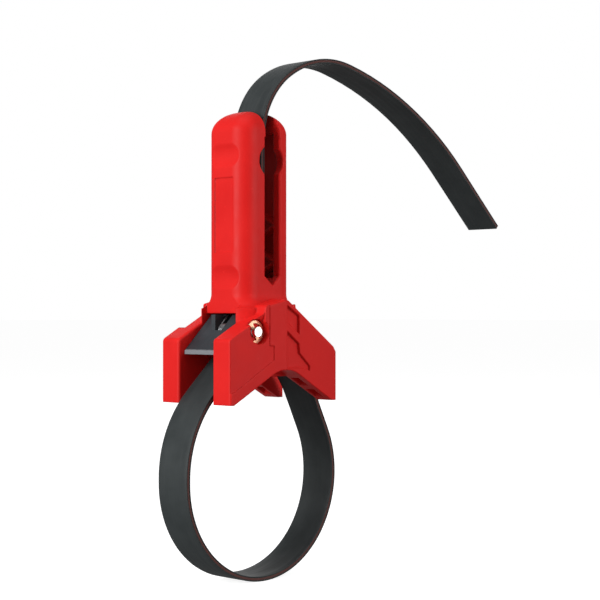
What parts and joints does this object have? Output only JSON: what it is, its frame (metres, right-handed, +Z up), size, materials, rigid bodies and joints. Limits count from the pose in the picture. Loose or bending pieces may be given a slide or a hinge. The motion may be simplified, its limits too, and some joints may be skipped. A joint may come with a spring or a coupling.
{
  "type": "strap wrench",
  "caption": "Strap wrench for oil filters and pipe: moulded grip on a V yoke, flat strap loop and a sprung cam lever that locks the strap.",
  "frame": {"origin": "on the axis of the gripped cylinder, at the middle of the strap's width", "axes": "+Y along the gripped cylinder's axis, +Z up the grip, -X towards the cam lever"},
  "size_m": [0.3143, 0.0672, 0.3442],
  "materials": {
    "red_moulding": "satin",
    "grey_casting": "satin",
    "pin_steel": "bright",
    "yellow_zinc": "bright",
    "spring_steel": "oiled",
    "strap_rubber": "matte",
    "strap_fabric": "matte",
    "plate_steel": "satin",
    "brass_insert": "satin"
  },
  "bodies": {
    "frame": {"handle_body": "red_moulding", "cam_pivot_pin": "pin_steel", "pivot_clip": "yellow_zinc", "cam_spring": "spring_steel", "strap_outer_cover": "strap_rubber", "strap_core": "strap_fabric", "strap_inner_cover": "strap_rubber", "anchor_plate": "plate_steel", "anchor_screws": "pin_steel", "anchor_inserts": "brass_insert"},
    "lever": {"cam_lever": "grey_casting"}
  },
  "joints": [
    {"name": "cam_pivot", "type": "hinge", "parent": "frame", "child": "lever", "pos_m": [-0.0224, 0, 0.0944], "axis": [0, -1, 0], "range_deg": [0, 20], "stiffness_Nm_per_rad": 0.2, "springref_deg": -34.38, "deforming": ["cam_spring"]}
  ]
}
